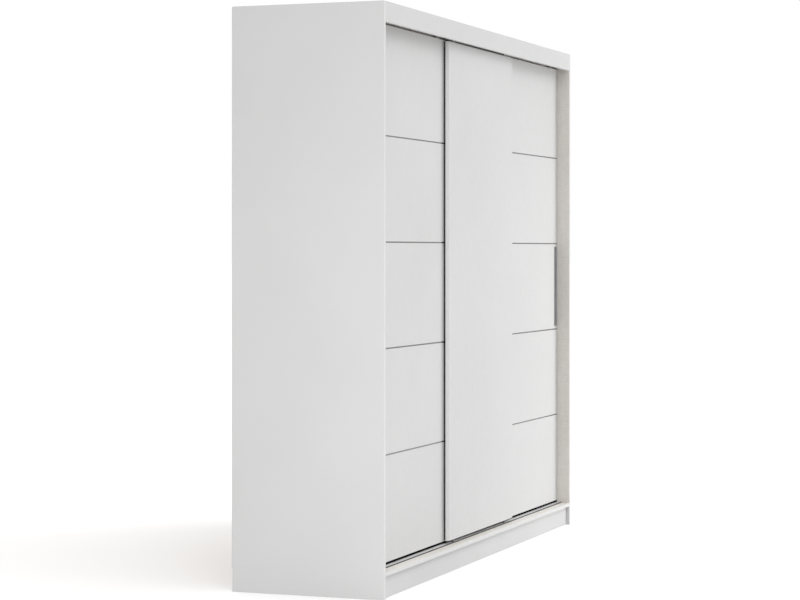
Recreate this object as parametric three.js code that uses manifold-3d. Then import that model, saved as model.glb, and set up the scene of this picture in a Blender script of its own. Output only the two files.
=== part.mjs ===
// Sliding door wardrobe with three doors on a double track. Millimetres, +Z up.
// X runs along the front from left to right, the front faces -Y, and the origin lies on the
// floor under the middle of the carcass. "recess" is a distance behind the front edges.
import * as THREE from 'three';
import { mergeVertices } from 'three/addons/utils/BufferGeometryUtils.js';
import Module from 'manifold-3d';

const wasm = await Module();
wasm.setup();

// Overall size and board stock.
const WIDTH = 2440;
const DEPTH = 615;
const HEIGHT = 2200;
const BOARD = 15;
const BACK_PANEL = 3;
const BACK_PANEL_REVEAL = 3;
const SLIP_GAP = 0.3;
const CUT_MARGIN = 1;

// Carcass.
const PLINTH_HEIGHT = 85;
const PLINTH_RECESS = 16;
const HEADER_HEIGHT = 76;
const PARTITION_RECESS = 92;
const TOP_SHELF_Z = 1785;
const MIDDLE_SHELF_COUNT = 4;

// Hanging rods: an oblong tube in a flanged cup at each end.
const ROD_HEIGHT = 30;
const ROD_THICKNESS = 15;
const ROD_WALL = 1.2;
const ROD_DROP = 60;
const CUP_WALL = 2.4;
const CUP_DEPTH = 14;
const CUP_FLANGE = 2.5;
const CUP_FLANGE_RIM = 8;

// Doors.
const DOOR_WIDTH = 837;
const DOOR_SIDE_GAP = 1.5;
const FRONT_DOOR_RECESS = 36.5;
const TRACK_PITCH = 23.5;
const FRONT_PLANE = { recess: FRONT_DOOR_RECESS, bottom: 116.4, top: 2123 };
const REAR_PLANE = { recess: FRONT_DOOR_RECESS + TRACK_PITCH, bottom: 113.8, top: 2129 };
const CENTRE_DOOR_OFFSET = 19.5;
const STRIP_COUNT = 4;
const FIRST_STRIP_Z = 516;
const STRIP_PITCH = 399;
const STRIP_WIDTH = 5;
const STRIP_DEPTH = 2;
const STRIP_PROUD = 0.3;

// Recessed pulls in the outer edges of the two side doors.
const PULL_WIDTH = 46;
const PULL_HEIGHT = 370;
const PULL_EDGE_MARGIN = 2;
const PULL_DEPTH = 11;
const PULL_WALL = 1.2;
const PULL_FLANGE = 4;
const PULL_FLANGE_THICKNESS = 0.8;

// Rollers in the bottom edge of each door and guides in the top edge.
const POCKET_WIDTH = 44;
const POCKET_DEPTH = 8.5;
const POCKET_INSET = 60;
const ROLLER_POCKET_HEIGHT = 46;
const GUIDE_POCKET_HEIGHT = 32;
const WHEEL_RADIUS = 12;
const WHEEL_WIDTH = 4.2;
const WHEEL_HUB_WIDTH = 4.6;
const WHEEL_WEB_WIDTH = 2.2;
const WHEEL_RIM = 3.2;
const WHEEL_HUB_RADIUS = 5;
const TREAD_ROUNDING = 0.8;
const TREAD_FLAT = 1.7;
const WHEEL_SIDES = 24;
const AXLE_RADIUS = 2;
const AXLE_SIDES = 12;
const SLOT_WIDTH = 28;
const SLOT_DEPTH = 5.4;
const GUIDE_HEAD_WIDTH = 36;
const GUIDE_HEAD_HEIGHT = 16;
const GUIDE_HEAD_RISE = 18;
const GUIDE_TONGUE_WIDTH = 26;
const GUIDE_HEAD_CLEARANCE = 1;

// Tracks.
const BOTTOM_TRACK_RECESS = 41;
const BOTTOM_TRACK_WIDTH = 41;
const BOTTOM_TRACK_HEIGHT = 4.5;
const TRACK_LIP_THICKNESS = 1.3;
const TRACK_LIP_OVERHANG = 1.6;
const GROOVE_WIDTH = 6.2;
const GROOVE_FLOOR = 1.5;
const TOP_TRACK_HEIGHT = 48;
const TOP_TRACK_WALL = 1.5;

// Places worked out from the driving dimensions.
const FRONT = -DEPTH / 2;
const LEFT = -WIDTH / 2;
const CARCASS_BACK = DEPTH / 2 - BACK_PANEL;
const BASE_TOP = PLINTH_HEIGHT + BOARD;
const CEILING = HEIGHT - BOARD;
const INNER_LEFT = LEFT + BOARD;
const INNER_RIGHT = -INNER_LEFT;
const BAY_WIDTH = (WIDTH - 4 * BOARD) / 3;
const RUNNING_LINE = BOARD - POCKET_DEPTH / 2;
const WHEEL_AXIS_Z = BASE_TOP + GROOVE_FLOOR + SLIP_GAP + WHEEL_RADIUS;
const PULL_BOTTOM = FIRST_STRIP_Z + STRIP_PITCH * (STRIP_COUNT - 1) / 2 - PULL_HEIGHT / 2;

const white = material(0xf1f1f0, 0.45, 0);
const linen = material(0xcfc8bd, 0.6, 0);
const hardboard = material(0xd8d2c8, 0.75, 0);
const aluminium = material(0xc4c6c8, 0.35, 0.9);
const polishedMetal = material(0x9a9ca0, 0.12, 1);
const satinMetal = material(0xa9abae, 0.4, 0.9);
const chrome = material(0xd0d2d4, 0.15, 1);
const greyPlastic = material(0x8f9193, 0.5, 0);
const nylon = material(0xe6e6e2, 0.4, 0);

const wardrobe = new THREE.Group();
addCarcass();
addInterior();
addTracks();
addDoor('left_door', INNER_LEFT + DOOR_SIDE_GAP, REAR_PLANE, -1);
addDoor('right_door', INNER_RIGHT - DOOR_SIDE_GAP - DOOR_WIDTH, REAR_PLANE, 1);
addDoor('centre_door', CENTRE_DOOR_OFFSET - DOOR_WIDTH / 2, FRONT_PLANE, 0);

function material(color, roughness, metalness) {
  return new THREE.MeshStandardMaterial({ color, roughness, metalness });
}

function addPiece(name, geometry, surface, parent = wardrobe) {
  const mesh = new THREE.Mesh(geometry, surface);
  mesh.name = name;
  parent.add(mesh);
  return mesh;
}

// A box between two corners, each given as [x, y, z].
function blockGeometry(low, high) {
  const size = high.map((value, axis) => value - low[axis]);
  const centre = high.map((value, axis) => (value + low[axis]) / 2);
  return new THREE.BoxGeometry(...size).translate(...centre);
}

// A section drawn in Y and Z, carried along +X.
function extrudeAlongX(section, length) {
  const settings = { depth: length, bevelEnabled: false, curveSegments: 8 };
  const geometry = new THREE.ExtrudeGeometry(section, settings);
  const turn = new THREE.Matrix4().makeBasis(
    new THREE.Vector3(0, 1, 0),
    new THREE.Vector3(0, 0, 1),
    new THREE.Vector3(1, 0, 0),
  );
  return geometry.applyMatrix4(turn);
}

function sectionFrom(points) {
  return new THREE.Shape(points.map(([u, v]) => new THREE.Vector2(u, v)));
}

function solidFrom(geometry) {
  const bare = geometry.clone();
  bare.deleteAttribute('normal');
  bare.deleteAttribute('uv');
  const merged = mergeVertices(bare, 1e-4);
  return new wasm.Manifold(new wasm.Mesh({
    numProp: 3,
    vertProperties: new Float32Array(merged.attributes.position.array),
    triVerts: new Uint32Array(merged.index.array),
  }));
}

function geometryFrom(solid) {
  const mesh = solid.getMesh();
  const geometry = new THREE.BufferGeometry();
  geometry.setAttribute('position', new THREE.BufferAttribute(mesh.vertProperties, 3));
  geometry.setIndex(new THREE.BufferAttribute(mesh.triVerts, 1));
  geometry.computeVertexNormals();
  return geometry;
}

function cut(body, tools) {
  const solid = tools.reduce((rest, tool) => rest.subtract(solidFrom(tool)), solidFrom(body));
  return geometryFrom(solid);
}

function join(pieces) {
  return geometryFrom(pieces.map(solidFrom).reduce((whole, piece) => whole.add(piece)));
}

function bayLeft(bay) {
  return INNER_LEFT + bay * (BAY_WIDTH + BOARD);
}

// Side panels reach the floor; the top, base and header boards fit between them.
function addCarcass() {
  [['left', LEFT], ['right', INNER_RIGHT]].forEach(([side, x]) => {
    addPiece(`side_panel_${side}`, blockGeometry([x, FRONT, 0], [x + BOARD, CARCASS_BACK, HEIGHT]), white);
  });
  addCrossBoard('top_board', BOARD, CEILING, HEIGHT);
  addCrossBoard('base_board', 0, PLINTH_HEIGHT, BASE_TOP);
  addPiece('header_board', blockGeometry(
    [INNER_LEFT, FRONT, HEIGHT - HEADER_HEIGHT],
    [INNER_RIGHT, FRONT + BOARD, HEIGHT],
  ), white);
  addPlinth();
  addBackPanels();
}

function addCrossBoard(name, recess, bottom, top) {
  addPiece(name, blockGeometry(
    [INNER_LEFT, FRONT + recess, bottom],
    [INNER_RIGHT, CARCASS_BACK, top],
  ), white);
}

function addPlinth() {
  const frontY = FRONT + PLINTH_RECESS;
  const rearY = CARCASS_BACK - BOARD;
  addPiece('plinth_front', blockGeometry(
    [INNER_LEFT, frontY, 0],
    [INNER_RIGHT, frontY + BOARD, PLINTH_HEIGHT],
  ), white);
  addPiece('plinth_rear', blockGeometry(
    [INNER_LEFT, rearY, 0],
    [INNER_RIGHT, CARCASS_BACK, PLINTH_HEIGHT],
  ), white);
  ['left', 'right'].forEach((side, index) => {
    const braceX = bayLeft(index + 1) - BOARD;
    addPiece(`plinth_brace_${side}`, blockGeometry(
      [braceX, frontY + BOARD, 0],
      [braceX + BOARD, rearY, PLINTH_HEIGHT],
    ), linen);
  });
}

// Three hardboard sheets nailed over the rear edges, meeting behind the partitions.
function addBackPanels() {
  const edge = LEFT + BACK_PANEL_REVEAL;
  const seams = [edge, bayLeft(1) - BOARD / 2, bayLeft(2) - BOARD / 2, -edge];
  ['left', 'middle', 'right'].forEach((place, index) => {
    addPiece(`back_panel_${place}`, blockGeometry(
      [seams[index] + SLIP_GAP, CARCASS_BACK, PLINTH_HEIGHT + BACK_PANEL_REVEAL],
      [seams[index + 1] - SLIP_GAP, CARCASS_BACK + BACK_PANEL, HEIGHT - BACK_PANEL_REVEAL],
    ), hardboard);
  });
}

function addInterior() {
  ['left', 'right'].forEach((side, index) => {
    const x = bayLeft(index + 1) - BOARD;
    addPiece(`partition_${side}`, blockGeometry(
      [x, FRONT + PARTITION_RECESS, BASE_TOP],
      [x + BOARD, CARCASS_BACK, CEILING],
    ), linen);
    const bay = index * 2;
    addShelf(`top_shelf_${side}`, bay, TOP_SHELF_Z);
    addHangingRod(side, bay);
  });
  const shelfPitch = (CEILING - BASE_TOP + BOARD) / (MIDDLE_SHELF_COUNT + 1);
  for (let shelf = 1; shelf <= MIDDLE_SHELF_COUNT; shelf += 1) {
    addShelf(`middle_shelf_${shelf}`, 1, BASE_TOP - BOARD + shelf * shelfPitch);
  }
}

function addShelf(name, bay, bottom) {
  addPiece(name, blockGeometry(
    [bayLeft(bay), FRONT + PARTITION_RECESS, bottom],
    [bayLeft(bay) + BAY_WIDTH, CARCASS_BACK, bottom + BOARD],
  ), linen);
}

// An upright oblong in Y and Z, with half-round ends, grown by "offset" all round.
function oblong(offset, Path = THREE.Shape) {
  const radius = ROD_THICKNESS / 2 + offset;
  const straight = (ROD_HEIGHT - ROD_THICKNESS) / 2;
  const path = new Path();
  path.absarc(0, straight, radius, 0, Math.PI, false);
  path.absarc(0, -straight, radius, Math.PI, 2 * Math.PI, false);
  path.closePath();
  return path;
}

function ringSection(outerOffset, innerOffset) {
  const section = oblong(outerOffset);
  section.holes.push(oblong(innerOffset, THREE.Path));
  return section;
}

function addHangingRod(side, bay) {
  const y = (FRONT + PARTITION_RECESS + CARCASS_BACK) / 2;
  const z = TOP_SHELF_Z - ROD_DROP;
  const start = bayLeft(bay);
  const length = BAY_WIDTH - 2 * (CUP_FLANGE + SLIP_GAP);
  const tube = extrudeAlongX(ringSection(0, -ROD_WALL), length);
  addPiece(`hanging_rod_${side}`, tube, chrome).position.set(start + CUP_FLANGE + SLIP_GAP, y, z);
  const nearCup = addPiece(`rod_cup_${side}_1`, rodCup(), greyPlastic);
  nearCup.position.set(start, y, z);
  const farCup = addPiece(`rod_cup_${side}_2`, rodCup(), greyPlastic);
  farCup.position.set(start + BAY_WIDTH, y, z);
  farCup.rotation.z = Math.PI;
}

// A flange against the board and a collar round the end of the rod.
function rodCup() {
  const flange = extrudeAlongX(oblong(CUP_FLANGE_RIM), CUP_FLANGE);
  const collar = extrudeAlongX(ringSection(SLIP_GAP + CUP_WALL, SLIP_GAP), CUP_DEPTH);
  return join([flange, collar]);
}

function addTracks() {
  const length = INNER_RIGHT - INNER_LEFT;
  addPiece('track_bottom', extrudeAlongX(bottomTrackSection(), length), aluminium)
    .position.set(INNER_LEFT, FRONT, BASE_TOP);
  addPiece('track_top', extrudeAlongX(topTrackSection(), length), aluminium)
    .position.set(INNER_LEFT, FRONT, CEILING);
}

// A low flat profile with one groove for the wheels of each door plane. Its long edges are thin
// lips that stand clear of the base board.
function bottomTrackSection() {
  const front = BOTTOM_TRACK_RECESS;
  const back = front + BOTTOM_TRACK_WIDTH;
  const top = BOTTOM_TRACK_HEIGHT;
  const lip = top - TRACK_LIP_THICKNESS;
  const points = [[front + TRACK_LIP_OVERHANG, 0], [back - TRACK_LIP_OVERHANG, 0]];
  points.push([back - TRACK_LIP_OVERHANG, lip], [back, lip], [back, top]);
  [REAR_PLANE, FRONT_PLANE].forEach((plane) => {
    const near = plane.recess + RUNNING_LINE - GROOVE_WIDTH / 2;
    const far = near + GROOVE_WIDTH;
    points.push([far, top], [far, GROOVE_FLOOR], [near, GROOVE_FLOOR], [near, top]);
  });
  points.push([front, top], [front, lip], [front + TRACK_LIP_OVERHANG, lip]);
  return sectionFrom(points);
}

// Three legs under one web make two channels, open downwards. The web lies under the top board.
function topTrackSection() {
  const firstLeg = FRONT_DOOR_RECESS + RUNNING_LINE - TRACK_PITCH / 2 - TOP_TRACK_WALL / 2;
  const legs = [0, 1, 2].map((count) => firstLeg + count * TRACK_PITCH);
  const points = legs.flatMap((leg, index) => {
    const before = index === 0 ? 0 : -TOP_TRACK_WALL;
    const after = index === legs.length - 1 ? 0 : -TOP_TRACK_WALL;
    const far = leg + TOP_TRACK_WALL;
    return [[leg, before], [leg, -TOP_TRACK_HEIGHT], [far, -TOP_TRACK_HEIGHT], [far, after]];
  });
  return sectionFrom(points);
}

// pullSide is -1 for a pull at the left edge, 1 at the right edge and 0 for a plain door.
// Inside the door group, x runs from 0 to the door's width and y from its face to its back.
function addDoor(name, x, plane, pullSide) {
  const door = new THREE.Group();
  door.position.set(x, FRONT + plane.recess, 0);
  wardrobe.add(door);
  const pullX = pullSide < 0 ? PULL_EDGE_MARGIN : DOOR_WIDTH - PULL_EDGE_MARGIN - PULL_WIDTH;
  addPiece(`${name}_panel`, doorPanel(plane, pullSide, pullX), white, door);
  if (pullSide !== 0) {
    addStrips(name, door);
    addPiece(`${name}_pull`, pullTray(), satinMetal, door).position.set(pullX, 0, PULL_BOTTOM);
  }
  pocketPlaces().forEach((pocketX, index) => {
    const side = ['left', 'right'][index];
    addPiece(`${name}_roller_housing_${side}`, rollerHousing(plane.bottom), greyPlastic, door)
      .position.set(pocketX, BOARD - POCKET_DEPTH, plane.bottom);
    addPiece(`${name}_wheel_${side}`, wheel(), nylon, door)
      .position.set(pocketX + POCKET_WIDTH / 2, RUNNING_LINE, WHEEL_AXIS_Z);
    addPiece(`${name}_guide_${side}`, topGuide(), nylon, door)
      .position.set(pocketX, BOARD - POCKET_DEPTH, plane.top);
  });
}

function pocketPlaces() {
  return [POCKET_INSET, DOOR_WIDTH - POCKET_INSET - POCKET_WIDTH];
}

function stripHeights() {
  return Array.from({ length: STRIP_COUNT }, (_, index) => FIRST_STRIP_Z + index * STRIP_PITCH);
}

function doorPanel({ bottom, top }, pullSide, pullX) {
  const panel = pullSide === 0 ? plainPanel(bottom, top) : groovedPanel(bottom, top);
  const behind = BOARD + CUT_MARGIN;
  const pockets = pocketPlaces().flatMap((x) => [
    blockGeometry(
      [x, BOARD - POCKET_DEPTH, bottom - CUT_MARGIN],
      [x + POCKET_WIDTH, behind, bottom + ROLLER_POCKET_HEIGHT],
    ),
    blockGeometry(
      [x, BOARD - POCKET_DEPTH, top - GUIDE_POCKET_HEIGHT],
      [x + POCKET_WIDTH, behind, top + CUT_MARGIN],
    ),
  ]);
  if (pullSide !== 0) {
    const inset = PULL_FLANGE - SLIP_GAP;
    pockets.push(blockGeometry(
      [pullX + inset, -CUT_MARGIN, PULL_BOTTOM + inset],
      [pullX + PULL_WIDTH - inset, PULL_DEPTH + SLIP_GAP, PULL_BOTTOM + PULL_HEIGHT - inset],
    ));
  }
  return cut(panel, pockets);
}

function plainPanel(bottom, top) {
  return blockGeometry([0, 0, bottom], [DOOR_WIDTH, BOARD, top]);
}

function groovedPanel(bottom, top) {
  const points = [[BOARD, bottom], [BOARD, top], [0, top]];
  stripHeights().reverse().forEach((z) => {
    const low = z - STRIP_WIDTH / 2;
    const high = z + STRIP_WIDTH / 2;
    points.push([0, high], [STRIP_DEPTH, high], [STRIP_DEPTH, low], [0, low]);
  });
  points.push([0, bottom]);
  return extrudeAlongX(sectionFrom(points), DOOR_WIDTH);
}

function addStrips(name, door) {
  stripHeights().forEach((z, index) => {
    addPiece(`${name}_strip_${index + 1}`, blockGeometry(
      [0, -STRIP_PROUD, z - STRIP_WIDTH / 2],
      [DOOR_WIDTH, STRIP_DEPTH, z + STRIP_WIDTH / 2],
    ), polishedMetal, door);
  });
}

// A shallow tray let into the door, with a thin flange over the edges of its pocket.
function pullTray() {
  const flange = blockGeometry([0, -PULL_FLANGE_THICKNESS, 0], [PULL_WIDTH, 0, PULL_HEIGHT]);
  const tray = blockGeometry(
    [PULL_FLANGE, -PULL_FLANGE_THICKNESS, PULL_FLANGE],
    [PULL_WIDTH - PULL_FLANGE, PULL_DEPTH, PULL_HEIGHT - PULL_FLANGE],
  );
  const wall = PULL_FLANGE + PULL_WALL;
  const recess = blockGeometry(
    [wall, -PULL_FLANGE_THICKNESS - CUT_MARGIN, wall],
    [PULL_WIDTH - wall, PULL_DEPTH - PULL_WALL, PULL_HEIGHT - wall],
  );
  return cut(join([flange, tray]), [recess]);
}

// A block that fills its pocket, slotted for the wheel and crossed by the axle. It is drawn from
// the bottom edge of its door, whose height sets how far below that edge the axle lies.
function rollerHousing(doorBottom) {
  const axleZ = WHEEL_AXIS_Z - doorBottom;
  const block = blockGeometry(
    [SLIP_GAP, SLIP_GAP, 0],
    [POCKET_WIDTH - SLIP_GAP, POCKET_DEPTH, ROLLER_POCKET_HEIGHT - SLIP_GAP],
  );
  const middle = POCKET_WIDTH / 2;
  const slot = blockGeometry(
    [middle - SLOT_WIDTH / 2, (POCKET_DEPTH - SLOT_DEPTH) / 2, -WHEEL_RADIUS],
    [middle + SLOT_WIDTH / 2, (POCKET_DEPTH + SLOT_DEPTH) / 2, SLOT_WIDTH / 2],
  );
  const lug = blockGeometry(
    [middle - WHEEL_HUB_RADIUS, SLIP_GAP, axleZ - WHEEL_HUB_RADIUS],
    [middle + WHEEL_HUB_RADIUS, POCKET_DEPTH, CUT_MARGIN],
  );
  const axle = new THREE.CylinderGeometry(AXLE_RADIUS, AXLE_RADIUS, POCKET_DEPTH - 2 * SLIP_GAP, AXLE_SIDES)
    .translate(middle, POCKET_DEPTH / 2, axleZ);
  const slotted = cut(join([block, lug]), [slot]);
  return join([slotted, axle]);
}

// Hub, thin web and rim with a rounded tread, turned about its own Y axis.
function wheel() {
  const bore = AXLE_RADIUS + SLIP_GAP;
  const rimInner = WHEEL_RADIUS - WHEEL_RIM;
  const tread = WHEEL_RADIUS - TREAD_ROUNDING;
  const profile = [
    [bore, -WHEEL_HUB_WIDTH / 2], [WHEEL_HUB_RADIUS, -WHEEL_HUB_WIDTH / 2],
    [WHEEL_HUB_RADIUS, -WHEEL_WEB_WIDTH / 2], [rimInner, -WHEEL_WEB_WIDTH / 2],
    [rimInner, -WHEEL_WIDTH / 2], [tread, -WHEEL_WIDTH / 2],
    [WHEEL_RADIUS, -TREAD_FLAT / 2], [WHEEL_RADIUS, TREAD_FLAT / 2],
    [tread, WHEEL_WIDTH / 2], [rimInner, WHEEL_WIDTH / 2],
    [rimInner, WHEEL_WEB_WIDTH / 2], [WHEEL_HUB_RADIUS, WHEEL_WEB_WIDTH / 2],
    [WHEEL_HUB_RADIUS, WHEEL_HUB_WIDTH / 2], [bore, WHEEL_HUB_WIDTH / 2],
    [bore, -WHEEL_HUB_WIDTH / 2],
  ];
  return new THREE.LatheGeometry(profile.map(([r, y]) => new THREE.Vector2(r, y)), WHEEL_SIDES);
}

// A body in the top pocket, a tongue through the gap and a head that slides in the channel.
function topGuide() {
  const middle = POCKET_WIDTH / 2;
  const body = blockGeometry(
    [SLIP_GAP, SLIP_GAP, -GUIDE_POCKET_HEIGHT + SLIP_GAP],
    [POCKET_WIDTH - SLIP_GAP, POCKET_DEPTH, 0],
  );
  const tongue = blockGeometry(
    [middle - GUIDE_TONGUE_WIDTH / 2, SLIP_GAP, -CUT_MARGIN],
    [middle + GUIDE_TONGUE_WIDTH / 2, POCKET_DEPTH, GUIDE_HEAD_RISE + CUT_MARGIN],
  );
  const headDepth = TRACK_PITCH - TOP_TRACK_WALL - 2 * GUIDE_HEAD_CLEARANCE;
  const headFront = (POCKET_DEPTH - headDepth) / 2;
  const head = blockGeometry(
    [middle - GUIDE_HEAD_WIDTH / 2, headFront, GUIDE_HEAD_RISE],
    [middle + GUIDE_HEAD_WIDTH / 2, headFront + headDepth, GUIDE_HEAD_RISE + GUIDE_HEAD_HEIGHT],
  );
  return join([body, tongue, head]);
}

export default wardrobe;
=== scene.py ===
"""Sliding door wardrobe: materials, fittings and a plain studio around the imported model.

Metres, +Z up. The front faces -Y and X runs along it from left to right.
"""
import math
import random

import bmesh
import bpy
from mathutils import Matrix, Vector


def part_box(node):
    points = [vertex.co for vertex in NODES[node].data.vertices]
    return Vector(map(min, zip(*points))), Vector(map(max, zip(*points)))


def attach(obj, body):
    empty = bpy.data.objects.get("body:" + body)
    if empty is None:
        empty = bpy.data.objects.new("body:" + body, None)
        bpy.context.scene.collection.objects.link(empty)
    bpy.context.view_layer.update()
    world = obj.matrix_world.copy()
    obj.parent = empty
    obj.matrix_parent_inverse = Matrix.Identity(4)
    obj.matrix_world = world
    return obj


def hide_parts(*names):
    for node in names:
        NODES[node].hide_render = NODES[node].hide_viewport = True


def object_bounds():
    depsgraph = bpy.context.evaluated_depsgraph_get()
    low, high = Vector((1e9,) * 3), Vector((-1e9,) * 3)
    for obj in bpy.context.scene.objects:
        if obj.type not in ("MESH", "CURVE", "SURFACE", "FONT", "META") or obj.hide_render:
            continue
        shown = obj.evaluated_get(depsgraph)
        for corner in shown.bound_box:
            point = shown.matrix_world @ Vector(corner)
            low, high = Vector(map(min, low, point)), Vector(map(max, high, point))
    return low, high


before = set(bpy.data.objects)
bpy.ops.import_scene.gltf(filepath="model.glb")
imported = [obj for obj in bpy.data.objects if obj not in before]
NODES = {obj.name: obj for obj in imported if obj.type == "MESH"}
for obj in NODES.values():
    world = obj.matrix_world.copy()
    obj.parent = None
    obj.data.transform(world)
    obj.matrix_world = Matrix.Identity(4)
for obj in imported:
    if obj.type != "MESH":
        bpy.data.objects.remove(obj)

CAD_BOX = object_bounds()
LOW, HIGH = CAD_BOX
SIDES = ("left", "right")
SIDE_DOORS = ("left_door", "right_door")
DOORS = (*SIDE_DOORS, "centre_door")
BACK_PLACES = ("left", "middle", "right")
TOP_SHELVES = [f"top_shelf_{side}" for side in SIDES]
MIDDLE_SHELVES = sorted(name for name in NODES if name.startswith("middle_shelf_"))

MM = 0.001
AXES = {"x": (1, 0, 0), "y": (0, 1, 0), "z": (0, 0, 1)}
RIGHTWARD, LEFTWARD = (1, 0, 0), (-1, 0, 0)
BACKWARD = (0, 1, 0)
UPWARD, DOWNWARD = (0, 0, 1), (0, 0, -1)

# Camera: how far it stands from the near front corner, its height, turn and lens.
CAMERA_LEFT_OF_CORNER = 7.66
CAMERA_BEFORE_FRONT = 2.93
CAMERA_HEIGHT = 1.2845
CAMERA_TURN = math.radians(-69.47)
CAMERA_LENS = 100.7
CAMERA_SENSOR = 36
CAMERA_SHIFT_Y = -0.0625
CAMERA_REACH = 200

# Studio light: a sky that grows brighter towards the top, two large softboxes high up, one on
# each side of the front, and two small ones low down, before the front and beside the left side.
# Each softbox is its name, place, size and power.
SKY_HORIZON = 0.62
SKY_TOP = 1.36
SKY_SEEN = 1.0
SOFTBOXES = (
    ("key", (6.0, -8.0, 8.5), 4.5, 330.0),
    ("left_key", (-8.5, -3.0, 7.0), 4.5, 100.0),
    ("right_fill", (2.3, -2.55, 0.55), 1.2, 29.0),
    ("left_fill", (-3.4, -1.2, 0.6), 1.4, 20.0),
)

# Studio floor: white with faint clouds for the camera, and grey in the light it throws back.
FLOOR_SIZE = 600.0
FLOOR_ROUGHNESS = 0.9
FLOOR_CLOUDS = 0.6
FLOOR_SEEN = ((0.3, (0.945, 0.945, 0.945)), (0.7, (0.96, 0.96, 0.96)))
FLOOR_BOUNCE = (0.53, 0.53, 0.53, 1.0)

# Finishes: the tints along each ramp, the scales of the noises that move along it, and the
# share that each of them has, in the same order.
WHITE_TINTS = ((0.35, (0.605, 0.605, 0.604)), (0.65, (0.635, 0.635, 0.634)))
WHITE_CLOUDS, WHITE_GRAIN, WHITE_SHEEN = 1.7, 950, 38
WHITE_SHARES = (0.75, 0.25)
WHITE_ROUGHNESS = (0.34, 0.46)
# The edge tape is tinted lighter than the board faces: partly the tape's own tone, partly a
# painted highlight so that the edges read brightly lit.
TAPE_AND_HIGHLIGHT_TINTS = ((0.3, (0.685, 0.685, 0.683)), (0.7, (0.707, 0.707, 0.705)))
TAPE_CLOUDS = 60
TAPE_ROUGHNESS = 0.33
LINEN_TINTS = (
    (0.38, (0.535, 0.508, 0.470)),
    (0.50, (0.645, 0.618, 0.580)),
    (0.62, (0.730, 0.708, 0.675)),
)
THREAD_ALONG, THREAD_ACROSS = 26, 1150
LINEN_CLOUDS = 2.3
LINEN_SHARES = (0.28, 0.16)
LINEN_WEAVE = (1.2, 1.8)
LINEN_ROUGHNESS = (0.62, 0.48)
LINEN_TAPE_TINTS = ((0.3, (0.56, 0.535, 0.49)), (0.7, (0.6, 0.575, 0.53)))
LINEN_TAPE_CLOUDS = 70
LINEN_TAPE_ROUGHNESS = 0.42
FIBRE_TINTS = (
    (0.35, (0.215, 0.125, 0.065)),
    (0.50, (0.300, 0.185, 0.105)),
    (0.66, (0.400, 0.265, 0.160)),
)
FIBRE_GRAIN, FIBRE_BLOTCHES, FIBRE_SCREEN = 420, 6, 480
FIBRE_SHARES = (0.85, 0.15)
FIBRE_ROUGHNESS = 0.82
BRUSH_ALONG, BRUSH_ACROSS, BRUSH_SMUDGES = 9, 1600, 14
BRUSH_SHARES = (0.6, 0.4)
BRUSH_DARKER, BRUSH_LIGHTER = 0.9, 1.06
PLASTIC_PITS, PLASTIC_CLOUDS = 2600, 55
PLASTIC_DARKER = 0.93
PLASTIC_ROUGHNESS = (0.38, 0.52)
TONE_LOW, TONE_HIGH = 0.35, 0.65

# How deep each finish's relief is and how strongly it shows, and how squarely a surface has to
# look along a direction to count as facing it.
WHITE_RELIEF = 0.03 * MM
LINEN_RELIEF = 0.05 * MM
SCREEN_RELIEF = 0.12 * MM
PLASTIC_RELIEF = 0.02 * MM
BRUSH_RELIEF = 0.02 * MM
RELIEF_STRENGTH = 0.6
BRUSH_STRENGTH = 0.5
FACES_ALONG = 0.8

# Painted light: how much lighter the base board and the plinth are painted than the other white
# boards, so that they read as more brightly lit.
BASE_PAINTED_LIGHT = 1.05

# Edges of the boards and fittings.
BOARD_EDGE = 0.7 * MM
FITTING_EDGE = 0.5 * MM
STRIP_EDGE = 0.3 * MM
TRACK_EDGE = 0.3 * MM
BEVEL_ANGLE = math.radians(40)
SHARP_ANGLE = 35
WELD_DISTANCE = 0.02 * MM

# Tracks, and the dark grey strips on the bottom track's edges, which are painted shade for the
# shadow line along them. The top track's channels are shares of its depth.
TRACK_SCREW_INSET = 90 * MM
TRACK_SCREW_PITCH = 280 * MM
BOTTOM_FLAT_SHIFT = 2.5 * MM
TOP_TRACK_WALL = 1.5 * MM
TOP_TRACK_CHANNELS = (0.25, 0.75)
TRACK_LIP = 1.3 * MM
TRACK_UNDERCUT = 1.6 * MM
SHADE_STRIP_CLEAR = 0.05 * MM
SHADE_STRIP_THICKNESS = 0.9 * MM
SHADE_STRIP_BELOW_LIP = 0.2 * MM
SHADE_STRIP_ROUNDING = 0.3 * MM

# Screws: each kind is its head's radius and rise, and the rest are shares of those two.
TOP_TRACK_SCREW = (3.6 * MM, 1.4 * MM)
BOTTOM_TRACK_SCREW = (3.2 * MM, 0.4 * MM)
FIXING_SCREW = (3.0 * MM, 0.9 * MM)
HEIGHT_SCREW = (4.0 * MM, 0.9 * MM)
CUP_SCREW = (2.2 * MM, 0.8 * MM)
SCREW_SIDES = 24
SCREW_SUNK = 0.2 * MM
SCREW_DOME = ((1.0, 0.3), (0.92, 0.62), (0.74, 0.88), (0.58, 1.0))
CROSS_ARM = 0.46
CROSS_HALF_WIDTH = 0.11
CROSS_TAPER = 0.8
CROSS_FLOOR = 0.2

# Where the screws sit on the door fittings and the rod cups.
FIXING_SCREW_INSET = 6 * MM
HOUSING_SCREW_DROP = 8 * MM
HEIGHT_SCREW_DROP = 20 * MM
GUIDE_SCREW_RISE = 9 * MM
CUP_SCREW_INSET = 2.9 * MM
CUP_FLANGE = 2.5 * MM

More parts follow.
